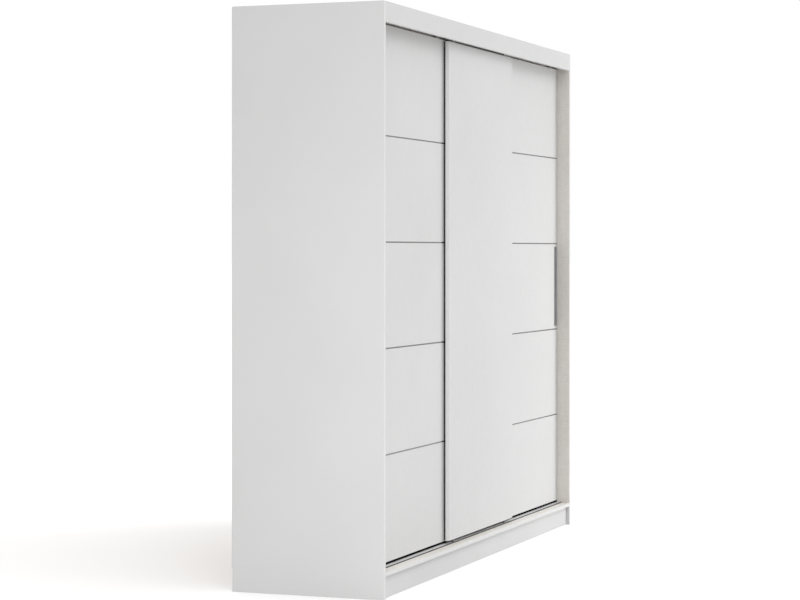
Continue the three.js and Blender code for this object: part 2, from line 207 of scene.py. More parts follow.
# Fixings of the boards. A turned section lists radius and height in millimetres.
FIXING_INSET = 65 * MM
CAP_SIDES = 28
CAP_SECTION = ((6.5, -0.1), (6.5, 0.15), (5.85, 0.45), (3.25, 0.6))
CAM_INSET = 34 * MM
CAM_CLEAR = 45 * MM
CAM_SIDES = 32
CAM_SECTION = ((7.5, -0.2), (7.5, 0.2), (7.2, 0.4), (6.4, 0.4), (6.1, -0.1))
CAM_BAR_LENGTH = 9 * MM
CAM_BAR_WIDTH = 1.6 * MM
CAM_BAR_DEPTH = 0.5 * MM
CAM_BAR_MIDDLE = 0.05 * MM
NAIL_INSET = 7 * MM
NAIL_PITCH = 130 * MM
NAIL_SIDES = 10
NAIL_SECTION = ((2.4, -0.2), (2.4, 0.05), (1.6, 0.15))

# Pulls: each ring is how far it lies inside the flange's edge, and behind the flange's front,
# in millimetres. The first ring is the tray's back edge, which takes its depth from the node.
PULL_BACK_INSET = 4.4
PULL_RINGS = (
    (4.1, 0.8), (0.0, 0.8), (0.0, 0.35), (0.35, 0.0), (3.9, 0.0), (4.5, 0.2),
    (5.0, 0.8), (5.2, 1.6), (5.6, 8.2), (6.0, 9.4), (7.0, 10.3), (8.6, 10.6),
)
PULL_CORNER = 3.2
PULL_CORNER_SHRINK = 0.2
PULL_CORNER_LEAST = 1.6
PULL_CORNER_STEPS = 5
PULL_SHARP = 50

# Wheels: upper halves of the turned sections, and the ribs on the tyre's web.
TYRE_HALF = (
    (5.0, 2.3), (6.0, 2.3), (6.2, 1.1), (8.6, 1.1), (8.8, 2.0), (9.0, 2.1),
    (11.2, 2.1), (11.7, 1.6), (12.0, 0.8),
)
BEARING_HALF = ((2.3, 2.2), (3.1, 2.2), (3.3, 1.9), (4.0, 1.9), (4.2, 2.2), (4.95, 2.2))
WHEEL_SIDES = 48
RIBS = 6
RIB_RADIUS = 7.4 * MM
RIB_OFF_MIDDLE = 1.2 * MM
RIB_SIZE = (2.6 * MM, 1.0 * MM, 0.8 * MM)

# Hanging rods, and their cups: each ring is how far it lies outside the rod, and how far it
# stands off the board, in millimetres.
ROD_WALL = 1.2 * MM
ROD_ROUNDING = 0.3 * MM
ROD_STEPS = 20
CUP_RINGS = (
    (7.6, 0.0), (8.0, 0.4), (8.0, 2.0), (7.5, 2.5), (3.6, 2.5), (2.9, 2.8), (2.7, 3.4),
    (2.7, 13.5), (2.3, 14.0), (0.8, 14.0), (0.3, 13.5), (0.3, 2.6),
)

# Pile seals under the side doors and down the centre door's back, coloured near black as painted
# shade in the gaps they fill.
SEAL_SEED = 7
SEAL_CLEARANCE = 0.6 * MM
SEAL_END_INSET = 1.0 * MM
SEAL_RIDGE = 0.9 * MM
SEAL_SWELL = 0.25 * MM
SEAL_RAGGED = 0.7 * MM
SEAL_SETBACK = 1.4 * MM
SEAL_THICKNESS = 3.0 * MM
SEAL_SHARP = 80
GAP_SEAL_INSET = 8.0 * MM
GAP_SEAL_RIDGE = 2.2 * MM


# ---------------------------------------------------------------- shader helper

class Shader:
    """One material: its Principled shader and short calls for the nodes that feed it."""

    def __init__(self, name, **settings):
        self.material = bpy.data.materials.new(name)
        self.material.use_nodes = True
        self.nodes = self.material.node_tree.nodes
        self.links = self.material.node_tree.links
        self.surface = self.nodes["Principled BSDF"]
        for socket, value in settings.items():
            self.surface.inputs[socket.replace("_", " ")].default_value = value
        place = self.nodes.new("ShaderNodeTexCoord")
        self.place = place.outputs["Object"]
        self.facing = place.outputs["Normal"]

    def put(self, socket, value):
        """A number, colour or another node's output into a socket."""
        if isinstance(value, bpy.types.NodeSocket):
            self.links.new(value, socket)
        else:
            socket.default_value = value

    def drive(self, socket, value):
        self.put(self.surface.inputs[socket], value)

    def stretched(self, stretch):
        node = self.nodes.new("ShaderNodeVectorMath")
        node.operation = "MULTIPLY"
        self.put(node.inputs[0], self.place)
        self.put(node.inputs[1], stretch)
        return node.outputs["Vector"]

    def noise(self, scale, detail=2.0, roughness=0.5, stretch=None):
        node = self.nodes.new("ShaderNodeTexNoise")
        node.inputs["Scale"].default_value = scale
        node.inputs["Detail"].default_value = detail
        node.inputs["Roughness"].default_value = roughness
        self.put(node.inputs["Vector"], self.stretched(stretch) if stretch else self.place)
        return node.outputs[0]

    def lines(self, axis, along, across, detail):
        """Noise drawn out along one axis."""
        stretch = [along if name == axis else across for name in "xyz"]
        return self.noise(1.0, detail=detail, stretch=stretch)

    def cells(self, scale):
        node = self.nodes.new("ShaderNodeTexVoronoi")
        node.inputs["Scale"].default_value = scale
        self.put(node.inputs["Vector"], self.place)
        return node.outputs["Distance"]

    def calculate(self, operation, first, second=0.0):
        node = self.nodes.new("ShaderNodeMath")
        node.operation = operation
        self.put(node.inputs[0], first)
        self.put(node.inputs[1], second)
        return node.outputs[0]

    def weigh(self, first, second, shares):
        """The sum of two values, each times its share."""
        return self.calculate(
            "ADD",
            self.calculate("MULTIPLY", first, shares[0]),
            self.calculate("MULTIPLY", second, shares[1]),
        )

    def span(self, value, low, high, start=0.3, end=0.7):
        """Maps start..end of a value onto low..high."""
        node = self.nodes.new("ShaderNodeMapRange")
        self.put(node.inputs["Value"], value)
        node.inputs["From Min"].default_value = start
        node.inputs["From Max"].default_value = end
        node.inputs["To Min"].default_value = low
        node.inputs["To Max"].default_value = high
        return node.outputs["Result"]

    def ramp(self, value, stops):
        node = self.nodes.new("ShaderNodeValToRGB")
        elements = node.color_ramp.elements
        while len(elements) < len(stops):
            elements.new(0.5)
        for element, (position, colour) in zip(elements, stops):
            element.position = position
            element.color = (*colour, 1.0)
        self.put(node.inputs["Fac"], value)
        return node.outputs["Color"]

    def blend_colour(self, factor, first, second):
        node = self.nodes.new("ShaderNodeMix")
        node.data_type = "RGBA"
        self.put(node.inputs[0], factor)
        self.put(node.inputs[6], first)
        self.put(node.inputs[7], second)
        return node.outputs[2]

    def blend_value(self, factor, first, second):
        node = self.nodes.new("ShaderNodeMix")
        self.put(node.inputs[0], factor)
        self.put(node.inputs[2], first)
        self.put(node.inputs[3], second)
        return node.outputs[0]

    def bump(self, height, depth, strength=RELIEF_STRENGTH):
        node = self.nodes.new("ShaderNodeBump")
        node.inputs["Distance"].default_value = depth
        node.inputs["Strength"].default_value = strength
        self.put(node.inputs["Height"], height)
        self.drive("Normal", node.outputs["Normal"])

    def faces(self, direction, both_ways=False):
        """1 where the surface looks along a direction, or along it either way, and 0 elsewhere."""
        node = self.nodes.new("ShaderNodeVectorMath")
        node.operation = "DOT_PRODUCT"
        self.put(node.inputs[0], self.facing)
        self.put(node.inputs[1], direction)
        along = node.outputs["Value"]
        if both_ways:
            along = self.calculate("ABSOLUTE", along)
        return self.calculate("GREATER_THAN", along, FACES_ALONG)

    def above(self, height):
        """1 above a height and 0 below it."""
        node = self.nodes.new("ShaderNodeSeparateXYZ")
        self.put(node.inputs[0], self.place)
        return self.calculate("GREATER_THAN", node.outputs["Z"], height)


# ---------------------------------------------------------------- studio

def make_camera():
    data = bpy.data.cameras.new("camera")
    data.lens = CAMERA_LENS
    data.sensor_width = CAMERA_SENSOR
    data.shift_y = CAMERA_SHIFT_Y
    data.clip_end = CAMERA_REACH
    camera = bpy.data.objects.new("camera", data)
    camera.location = (
        LOW.x - CAMERA_LEFT_OF_CORNER,
        LOW.y - CAMERA_BEFORE_FRONT,
        CAMERA_HEIGHT,
    )
    camera.rotation_euler = (math.pi / 2, 0, CAMERA_TURN)
    bpy.context.scene.collection.objects.link(camera)
    bpy.context.scene.camera = camera


def make_world():
    """A sky that is white to the camera and lights the object more strongly from above."""
    world = bpy.data.worlds.new("studio")
    world.use_nodes = True
    nodes = world.node_tree.nodes
    links = world.node_tree.links
    place = nodes.new("ShaderNodeTexCoord")
    height = nodes.new("ShaderNodeSeparateXYZ")
    sky = nodes.new("ShaderNodeMapRange")
    sky.inputs["To Min"].default_value = SKY_HORIZON
    sky.inputs["To Max"].default_value = SKY_TOP
    path = nodes.new("ShaderNodeLightPath")
    strength = nodes.new("ShaderNodeMix")
    strength.inputs[3].default_value = SKY_SEEN
    links.new(place.outputs["Generated"], height.inputs[0])
    links.new(height.outputs["Z"], sky.inputs["Value"])
    links.new(path.outputs["Is Camera Ray"], strength.inputs[0])
    links.new(sky.outputs["Result"], strength.inputs[2])
    links.new(strength.outputs[0], nodes["Background"].inputs["Strength"])
    nodes["Background"].inputs["Color"].default_value = (1, 1, 1, 1)
    bpy.context.scene.world = world


def make_softbox(name, place, size, power, target):
    """A square lamp that lights the object and is never seen, nor mirrored in it."""
    light = bpy.data.lights.new(name, "AREA")
    light.shape = "SQUARE"
    light.size = size
    light.energy = power
    lamp = bpy.data.objects.new(name, light)
    lamp.location = Vector(place)
    lamp.visible_camera = False
    lamp.visible_glossy = False
    aim = Vector(target) - lamp.location
    lamp.rotation_euler = aim.to_track_quat("-Z", "Y").to_euler()
    bpy.context.scene.collection.objects.link(lamp)


def make_floor():
    shader = Shader("studio_floor", Roughness=FLOOR_ROUGHNESS)
    seen = shader.ramp(shader.noise(FLOOR_CLOUDS), FLOOR_SEEN)
    path = shader.nodes.new("ShaderNodeLightPath")
    colour = shader.blend_colour(path.outputs["Is Camera Ray"], FLOOR_BOUNCE, seen)
    shader.drive("Base Color", colour)
    mesh = bpy.data.meshes.new("studio_floor")
    half = FLOOR_SIZE / 2
    corners = [(-half, -half, 0), (half, -half, 0), (half, half, 0), (-half, half, 0)]
    mesh.from_pydata(corners, [], [(0, 1, 2, 3)])
    floor = bpy.data.objects.new("studio_floor", mesh)
    floor.data.materials.append(shader.material)
    bpy.context.scene.collection.objects.link(floor)


def make_studio():
    make_camera()
    make_world()
    middle = (LOW + HIGH) / 2
    for name, place, size, power in SOFTBOXES:
        make_softbox(name, place, size, power, middle)
    make_floor()
    bpy.context.scene.view_settings.view_transform = "Standard"


# ---------------------------------------------------------------- materials

def lifted(tints, lift):
    """A ramp's tints, each times a number."""
    return [(stop, tuple(channel * lift for channel in tint)) for stop, tint in tints]


def white_surface(shader, lift):
    """Colour, roughness and relief of white melamine: a fine pearl grain over faint clouds."""
    clouds = shader.noise(WHITE_CLOUDS, detail=3)
    grain = shader.noise(WHITE_GRAIN)
    tone = shader.weigh(clouds, grain, WHITE_SHARES)
    colour = shader.ramp(tone, lifted(WHITE_TINTS, lift))
    roughness = shader.span(shader.noise(WHITE_SHEEN, detail=3), *WHITE_ROUGHNESS)
    return colour, roughness, grain


def linen_surface(shader, lift=1.0):
    """Colour, roughness and relief of a beige linen print: threads along each axis."""
    threads = [shader.lines(axis, THREAD_ALONG, THREAD_ACROSS, detail=1) for axis in "xyz"]
    crossed = shader.calculate("ADD", threads[0], threads[1])
    weave = shader.calculate("ADD", crossed, threads[2])
    tone = shader.weigh(weave, shader.noise(LINEN_CLOUDS), LINEN_SHARES)
    colour = shader.ramp(tone, lifted(LINEN_TINTS, lift))
    roughness = shader.span(weave, *LINEN_ROUGHNESS, *LINEN_WEAVE)
    return colour, roughness, weave


def white_board(name, thickness, linen_side=None, linen_above=0.0, lift=1.0):
    """White board with smooth tape on its edges. The face on linen_side is printed with linen."""
    shader = Shader(name)
    colour, roughness, relief = white_surface(shader, lift)
    face = shader.faces(AXES[thickness], both_ways=True)
    # Lighter tape on the edges: partly its own tone, partly painted highlight.
    tape_colour = shader.ramp(shader.noise(TAPE_CLOUDS, detail=1), TAPE_AND_HIGHLIGHT_TINTS)
    colour = shader.blend_colour(face, tape_colour, colour)
    roughness = shader.blend_value(face, TAPE_ROUGHNESS, roughness)
    relief = shader.calculate("MULTIPLY", relief, face)
    if linen_side:
        faces_in = shader.faces(linen_side)
        inside = shader.calculate("MULTIPLY", faces_in, shader.above(linen_above))
        linen_colour, linen_roughness, weave = linen_surface(shader, lift)
        colour = shader.blend_colour(inside, colour, linen_colour)
        roughness = shader.blend_value(inside, roughness, linen_roughness)
        relief = shader.blend_value(inside, relief, weave)
    shader.drive("Base Color", colour)
    shader.drive("Roughness", roughness)
    shader.bump(relief, WHITE_RELIEF)
    return shader.material


def linen_board(name, thickness):
    """Board with the linen print on both faces and plain beige tape on its edges."""
    shader = Shader(name)
    colour, roughness, weave = linen_surface(shader)
    face = shader.faces(AXES[thickness], both_ways=True)
    tape_colour = shader.ramp(shader.noise(LINEN_TAPE_CLOUDS), LINEN_TAPE_TINTS)
    shader.drive("Base Color", shader.blend_colour(face, tape_colour, colour))
    shader.drive("Roughness", shader.blend_value(face, LINEN_TAPE_ROUGHNESS, roughness))
    shader.bump(shader.calculate("MULTIPLY", weave, face), LINEN_RELIEF)
    return shader.material


def back_sheet():
    """Thin hardboard: linen print inside, bare brown fibre with a screen pattern behind."""
    shader = Shader("back_sheet")
    colour, roughness, weave = linen_surface(shader)
    fibres = shader.noise(FIBRE_GRAIN, detail=4, roughness=0.7)
    blotches = shader.noise(FIBRE_BLOTCHES, detail=3)
    fibre_colour = shader.ramp(shader.weigh(fibres, blotches, FIBRE_SHARES), FIBRE_TINTS)
    screen = shader.cells(FIBRE_SCREEN)
    behind = shader.faces(BACKWARD)
    shader.drive("Base Color", shader.blend_colour(behind, colour, fibre_colour))
    shader.drive("Roughness", shader.blend_value(behind, roughness, FIBRE_ROUGHNESS))
    shader.bump(shader.blend_value(behind, weave, screen), SCREEN_RELIEF)
    return shader.material


def brushed_metal(name, tint, axis, roughness, depth=BRUSH_RELIEF, metallic=1.0):
    """Metal with fine lines brushed along one axis, and faint smudges."""
    shader = Shader(name, Metallic=metallic)
    lines = shader.lines(axis, BRUSH_ALONG, BRUSH_ACROSS, detail=2)
    smudges = shader.noise(BRUSH_SMUDGES, detail=3)
    darker = tuple(channel * BRUSH_DARKER for channel in tint)
    lighter = tuple(min(channel * BRUSH_LIGHTER, 1.0) for channel in tint)
    tone = shader.weigh(lines, smudges, BRUSH_SHARES)
    shader.drive("Base Color", shader.ramp(tone, ((TONE_LOW, darker), (TONE_HIGH, lighter))))
    shader.drive("Roughness", shader.span(tone, *roughness, TONE_LOW, TONE_HIGH))
    shader.bump(lines, depth, BRUSH_STRENGTH)
    return shader.material


def moulded_plastic(name, tint, roughness=PLASTIC_ROUGHNESS, **settings):
    """Plastic with a fine spark-eroded texture."""
    shader = Shader(name, **settings)
    pits = shader.noise(PLASTIC_PITS)
    tone = shader.noise(PLASTIC_CLOUDS, detail=3)
    darker = tuple(channel * PLASTIC_DARKER for channel in tint)
    shader.drive("Base Color", shader.ramp(tone, ((TONE_LOW, darker), (TONE_HIGH, tint))))
    shader.drive("Roughness", shader.span(tone, *roughness))
    shader.bump(pits, PLASTIC_RELIEF)
    return shader.material


LINEN_X = linen_board("linen_upright", "x")
LINEN_Z = linen_board("linen_shelf", "z")
STRIP_METAL = brushed_metal(
    "strip_metal", (0.345, 0.345, 0.35), "x", (0.07, 0.14), depth=0.005 * MM
)
PULL_METAL = brushed_metal("pull_metal", (0.46, 0.46, 0.465), "z", (0.34, 0.46))
TRACK_METAL = brushed_metal(
    "track_aluminium", (0.80, 0.80, 0.80), "x", (0.42, 0.56), metallic=0.6
)
TOP_TRACK_PAINT = brushed_metal(
    "top_track_metal", (0.90, 0.87, 0.83), "x", (0.42, 0.56), metallic=0.0
)
CHROME = brushed_metal(
    "bright_plate", (0.82, 0.82, 0.83), "x", (0.06, 0.13), depth=0.004 * MM
)
STEEL = brushed_metal("zinc_steel", (0.62, 0.62, 0.63), "z", (0.25, 0.38))
ZINC = brushed_metal("cast_zinc", (0.52, 0.52, 0.53), "y", (0.34, 0.5))
GREY_PLASTIC = moulded_plastic("grey_plastic", (0.27, 0.275, 0.28))
CAP_PLASTIC = moulded_plastic("cap_plastic", (0.66, 0.63, 0.585))
# The tyres' dark tint is partly the nylon's own colour, partly painted shade that darkens the band
# under the centre door.
TYRE_NYLON_AND_SHADE = moulded_plastic("dark_nylon_and_shade", (0.12, 0.12, 0.125), (0.36, 0.5))
GUIDE_NYLON = moulded_plastic("guide_nylon", (0.50, 0.49, 0.465), (0.32, 0.45))
# Painted shade: near-black grey strips that stand in for the shadow line along the bottom track's
# edges.
SHADE_STRIP = moulded_plastic(
    "painted_shade_strip", (0.05, 0.05, 0.05), (0.6, 0.75), Specular_IOR_Level=0.2
)
# Painted shade: near-black pile that makes the gaps under and beside the doors read as deep
# shadow.
SHADE_PILE = moulded_plastic(
    "painted_shade_pile", (0.004, 0.004, 0.004), (0.85, 0.95), Specular_IOR_Level=0.0
)


# ---------------------------------------------------------------- mesh helpers

def spread(start, end, pitch):
    """Evenly spaced places from start to end, about a pitch apart."""
    steps = max(1, round((end - start) / pitch))
    return [start + (end - start) * step / steps for step in range(steps + 1)]


def facing_matrix(place, direction):
    """Moves something modelled on the origin, pointing up Z, to a place and direction."""
    turn = Vector(direction).to_track_quat("Z", "Y").to_matrix().to_4x4()
    return Matrix.Translation(Vector(place)) @ turn


def circle(radius, sides, height):
    angles = [2 * math.pi * index / sides for index in range(sides)]
    return [Vector((radius * math.cos(a), radius * math.sin(a), height)) for a in angles]


def rounded_rectangle(half_width, half_height, radius, steps):
    """Points of an upright rectangle with round corners, as (across, up)."""
    points = []
    corners = ((1, 1, 0.0), (-1, 1, 0.5), (-1, -1, 1.0), (1, -1, 1.5))
    for across, up, start in corners:
        for step in range(steps + 1):
            angle = math.pi * (start + 0.5 * step / steps)
            points.append((
                across * (half_width - radius) + radius * math.cos(angle),
                up * (half_height - radius) + radius * math.sin(angle),
            ))
    return points


def mirrored(half):
    """A closed section of radius and height from its upper half."""
    return list(half) + [(radius, -height) for radius, height in reversed(half)]


def add_bar(bm, matrix, middle, size):
    """A box round a point of the matrix's own space."""
    shape = Matrix.Translation(middle) @ Matrix.Diagonal((*size, 1))
    bmesh.ops.create_cube(bm, size=1.0, matrix=matrix @ shape)


def add_rings(bm, rings, cap_end=True, closed=False):
    """Joins rings of points, each with as many points as the next, into a skin."""
    rows = [[bm.verts.new(point) for point in ring] for ring in rings]
    pairs = list(zip(rows, rows[1:]))
    if closed:
        pairs.append((rows[-1], rows[0]))
    for near, far in pairs:
        for index in range(len(near)):
            after = (index + 1) % len(near)
            bm.faces.new((near[index], near[after], far[after], far[index]))
    if not closed:
        bm.faces.new(list(reversed(rows[0])))
        if cap_end:
            bm.faces.new(rows[-1])
    return rows


def add_turned(bm, matrix, section, sides, closed=False):
    """Turns a section of radius and height, in millimetres, about the matrix's Z axis."""
    rings = [
        [matrix @ point for point in circle(radius * MM, sides, height * MM)]
        for radius, height in section
    ]
    add_rings(bm, rings, closed=closed)


def add_screw(bm, place, direction, radius, rise):
    """A domed screw head with a cross recess."""
    matrix = facing_matrix(place, direction)
    section = [(radius, -SCREW_SUNK)]
    section += [(radius * across, rise * up) for across, up in SCREW_DOME]
    rings = [[matrix @ point for point in circle(r, SCREW_SIDES, z)] for r, z in section]
    outer = add_rings(bm, rings, cap_end=False)[-1]
    arm, half = radius * CROSS_ARM, radius * CROSS_HALF_WIDTH
    corners = []
    for turn in range(4):
        spin = Matrix.Rotation(turn * math.pi / 2, 4, "Z")
        for across, up in ((arm, -half), (arm, half), (half, half)):
            corners.append(spin @ Vector((across, up, rise)))
    rim = [bm.verts.new(matrix @ corner) for corner in corners]
    pit = [
        bm.verts.new(matrix @ Vector((c.x * CROSS_TAPER, c.y * CROSS_TAPER, rise * CROSS_FLOOR)))
        for c in corners
    ]
    count = len(corners)
    edges = [bm.edges.new((rim[i], rim[(i + 1) % count])) for i in range(count)]
    edges += [
        bm.edges.get((outer[i], outer[(i + 1) % SCREW_SIDES])) for i in range(SCREW_SIDES)
    ]
    bmesh.ops.triangle_fill(bm, edges=edges, use_beauty=True)
    for i in range(count):
        after = (i + 1) % count
        bm.faces.new((rim[i], rim[after], pit[after], pit[i]))
    bm.faces.new(pit)


def add_bevel(piece, width, segments=2):
    rounding = piece.modifiers.new("rounded edges", "BEVEL")
    rounding.width = width
    rounding.segments = segments
    rounding.limit_method = "ANGLE"
    rounding.angle_limit = BEVEL_ANGLE


def make_piece(name, bm, material, body, sharp=SHARP_ANGLE, bevel=None):
    """Turns a bmesh into a piece that rides on a body, with smooth faces and sharp corners."""
    bmesh.ops.recalc_face_normals(bm, faces=bm.faces)
    mesh = bpy.data.meshes.new(name)
    bm.to_mesh(mesh)
    bm.free()
    mesh.polygons.foreach_set("use_smooth", [True] * len(mesh.polygons))
    mesh.set_sharp_from_angle(angle=math.radians(sharp))
    mesh.materials.append(material)
    piece = bpy.data.objects.new(name, mesh)
    bpy.context.scene.collection.objects.link(piece)
    if bevel:
        add_bevel(piece, bevel)
    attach(piece, body)
    return piece


# ---------------------------------------------------------------- boards and tracks

def dress(node, material, edge, segments=2):
    """Gives a CAD node its material and softly rounded edges."""
    part = NODES[node]
    part.data.materials.clear()
    part.data.materials.append(material)
    weld = part.modifiers.new("joined corners", "WELD")
    weld.merge_threshold = WELD_DISTANCE
    add_bevel(part, edge, segments)


def dress_carcass():
    base_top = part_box("base_board")[1].z
    for side, inward in (("left", RIGHTWARD), ("right", LEFTWARD)):
        name = f"side_panel_{side}"
        dress(name, white_board(name, "x", inward, base_top), BOARD_EDGE)
    dress("top_board", white_board("top_board", "z", DOWNWARD), BOARD_EDGE)
    # The base board and the plinth take lighter tints, as painted light.
    dress("base_board", white_board("base_board", "z", UPWARD, lift=BASE_PAINTED_LIGHT), BOARD_EDGE)
    dress("header_board", white_board("header_board", "y", BACKWARD), BOARD_EDGE)
    plinth = white_board("plinth", "y", lift=BASE_PAINTED_LIGHT)
    for place in ("front", "rear"):
        dress(f"plinth_{place}", plinth, BOARD_EDGE)
    back = back_sheet()
    for place in BACK_PLACES:
        dress(f"back_panel_{place}", back, FITTING_EDGE)
    for side in SIDES:
        dress(f"plinth_brace_{side}", LINEN_X, BOARD_EDGE)
        dress(f"partition_{side}", LINEN_X, BOARD_EDGE)
    for shelf in TOP_SHELVES + MIDDLE_SHELVES:
        dress(shelf, LINEN_Z, BOARD_EDGE)


def dress_doors():
    face = white_board("door_board", "y")
    for door in DOORS:
        dress(f"{door}_panel", face, BOARD_EDGE)
        for side in SIDES:
            dress(f"{door}_roller_housing_{side}", GREY_PLASTIC, FITTING_EDGE)
            dress(f"{door}_guide_{side}", GUIDE_NYLON, FITTING_EDGE)
    for name in NODES:
        if "_strip_" in name:
            dress(name, STRIP_METAL, STRIP_EDGE, 3)


def dress_tracks():
    dress("track_bottom", TRACK_METAL, TRACK_EDGE)
    dress("track_top", TOP_TRACK_PAINT, TRACK_EDGE)


def make_track_shade_strips():
    """Dark grey strips that fill the undercuts under the bottom track's lips, and cover their
    edges: painted shade for the shadow line along the track.
    """
    low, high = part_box("track_bottom")
    lip = high.z - TRACK_LIP - SHADE_STRIP_CLEAR
    bottom = low.z + SHADE_STRIP_CLEAR
    top = high.z - SHADE_STRIP_BELOW_LIP
    for place, outer, inward in (("front", low.y, 1), ("rear", high.y, -1)):
        front = outer - inward * SHADE_STRIP_THICKNESS
        face = outer - inward * SHADE_STRIP_CLEAR
        back = outer + inward * (TRACK_UNDERCUT - SHADE_STRIP_CLEAR)
        section = (
            (front, bottom), (back, bottom), (back, lip), (face, lip), (face, top), (front, top),
        )
        bm = bmesh.new()
        add_rings(bm, [[(x, y, z) for y, z in section] for x in (low.x, high.x)])
        name = f"track_bottom_gasket_{place}"
        make_piece(name, bm, SHADE_STRIP, "carcass", bevel=SHADE_STRIP_ROUNDING)


def track_screw_places(low, high):
    return spread(low.x + TRACK_SCREW_INSET, high.x - TRACK_SCREW_INSET, TRACK_SCREW_PITCH)


def make_track_screws():
    """Screws through the flat between the bottom grooves, and up through both top channels."""
    low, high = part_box("track_bottom")
    flat = (low.y + high.y) / 2 - BOTTOM_FLAT_SHIFT
    bm = bmesh.new()
    for x in track_screw_places(low, high):
        add_screw(bm, (x, flat, high.z), UPWARD, *BOTTOM_TRACK_SCREW)
    make_piece("track_bottom_screws", bm, STEEL, "carcass")
    low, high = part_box("track_top")
    web = high.z - TOP_TRACK_WALL
    bm = bmesh.new()
    for x in track_screw_places(low, high):
        for share in TOP_TRACK_CHANNELS:
            y = low.y + (high.y - low.y) * share
            add_screw(bm, (x, y, web), DOWNWARD, *TOP_TRACK_SCREW)
    make_piece("track_top_screws", bm, STEEL, "carcass")


# ---------------------------------------------------------------- door fittings

def make_pull(door):
    """A drawn tray: a thin flange with a rolled lip, then a wall that slopes in to the floor."""
    low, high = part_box(f"{door}_pull")
    centre = (low + high) / 2
    half_width = (high.x - low.x) / 2
    half_height = (high.z - low.z) / 2
    back_ring = (PULL_BACK_INSET, (high.y - low.y) / MM)
    rings = []
    for inset, behind in (back_ring, *PULL_RINGS):
        radius = max(PULL_CORNER - PULL_CORNER_SHRINK * inset, PULL_CORNER_LEAST) * MM
        outline = rounded_rectangle(
            half_width - inset * MM, half_height - inset * MM, radius, PULL_CORNER_STEPS
        )
        y = low.y + behind * MM
        rings.append([(centre.x + across, y, centre.z + up) for across, up in outline])
    bm = bmesh.new()
    add_rings(bm, rings)
    pull = make_piece(f"{door}_pull_tray", bm, PULL_METAL, door, sharp=PULL_SHARP)
    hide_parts(f"{door}_pull")


def make_wheel(door, side):
    """A nylon tyre on a small steel bearing, both turned about the axle."""
    node = f"{door}_wheel_{side}"
    low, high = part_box(node)
    matrix = facing_matrix((low + high) / 2, BACKWARD)
    tyre = bmesh.new()
    add_turned(tyre, matrix, mirrored(TYRE_HALF), WHEEL_SIDES, closed=True)
    for rib in range(RIBS):
        turn = matrix @ Matrix.Rotation(rib * 2 * math.pi / RIBS, 4, "Z")
        for face in (-1, 1):
            add_bar(tyre, turn, (RIB_RADIUS, 0, face * RIB_OFF_MIDDLE), RIB_SIZE)
    piece = make_piece(f"{node}_tyre", tyre, TYRE_NYLON_AND_SHADE, node)
    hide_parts(node)
    bearing = bmesh.new()
    add_turned(bearing, matrix, mirrored(BEARING_HALF), WHEEL_SIDES, closed=True)
    make_piece(f"{node}_bearing", bearing, STEEL, node)


def make_fitting_screws(door):
    """Two fixing screws in each roller housing and top guide, and each housing's height screw."""
    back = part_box(f"{door}_panel")[1].y
    bm = bmesh.new()
    for side in SIDES:
        low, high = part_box(f"{door}_roller_housing_{side}")
        for x in (low.x + FIXING_SCREW_INSET, high.x - FIXING_SCREW_INSET):
            place = (x, high.y, high.z - HOUSING_SCREW_DROP)
            add_screw(bm, place, BACKWARD, *FIXING_SCREW)
        place = ((low.x + high.x) / 2, high.y, high.z - HEIGHT_SCREW_DROP)
        add_screw(bm, place, BACKWARD, *HEIGHT_SCREW)
        low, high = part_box(f"{door}_guide_{side}")
        for x in (low.x + FIXING_SCREW_INSET, high.x - FIXING_SCREW_INSET):
            add_screw(bm, (x, back, low.z + GUIDE_SCREW_RISE), BACKWARD, *FIXING_SCREW)
    make_piece(f"{door}_fitting_screws", bm, STEEL, door)


def add_pile(bm, place, stops, root, tips, near):
    """Pile from its root to ragged tips. place turns (along, across, out) into a point."""
    ragged = math.copysign(SEAL_RAGGED, root - tips)
    rings = []
    for index, along in enumerate(stops):
        swell = SEAL_SWELL * (index % 2) + random.uniform(0, SEAL_SWELL)
        tip = tips + random.uniform(0, 1) * ragged
        front = near - swell
        back = near + SEAL_THICKNESS + swell
        section = (
            (front, root), (front - swell / 2, tip + ragged), (front + swell, tip),
            (back - swell, tip), (back + swell / 2, tip + ragged), (back, root),
        )
        rings.append([place(along, across, out) for across, out in section])
    add_rings(bm, rings)


def make_door_shade_seal(door):
    """Pile along the bottom edge of a side door, down to just above the track, near black as
    painted shade for the dark slit under the door.
    """
    low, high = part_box(f"{door}_panel")
    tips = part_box("track_bottom")[1].z + SEAL_CLEARANCE
    random.seed(SEAL_SEED)
    stops = spread(low.x + SEAL_END_INSET, high.x - SEAL_END_INSET, SEAL_RIDGE)
    bm = bmesh.new()
    add_pile(bm, lambda x, y, z: (x, y, z), stops, low.z, tips, low.y + SEAL_SETBACK)
    make_piece(f"{door}_painted_shade_seal", bm, SHADE_PILE, door, sharp=SEAL_SHARP)


def make_gap_shade_seals():
    """Pile down both edges of the centre door's back, towards the side doors, near black as
    painted shade for the dark slits beside the centre door.
    """
    low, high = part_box("centre_door_panel")
    fronts = [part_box(f"{door}_{part}")[0].y for door in SIDE_DOORS for part in ("panel", "pull")]
    tips = min(fronts) - SEAL_CLEARANCE
    random.seed(SEAL_SEED)
    stops = spread(low.z + SEAL_END_INSET, high.z - SEAL_END_INSET, GAP_SEAL_RIDGE)
    bm = bmesh.new()
    for near in (low.x + GAP_SEAL_INSET, high.x - GAP_SEAL_INSET - SEAL_THICKNESS):
        add_pile(bm, lambda z, x, y: (x, y, z), stops, high.y, tips, near)
    name = "centre_door_painted_shade_seals"
    make_piece(name, bm, SHADE_PILE, "centre_door", sharp=SEAL_SHARP)


# ---------------------------------------------------------------- interior fittings

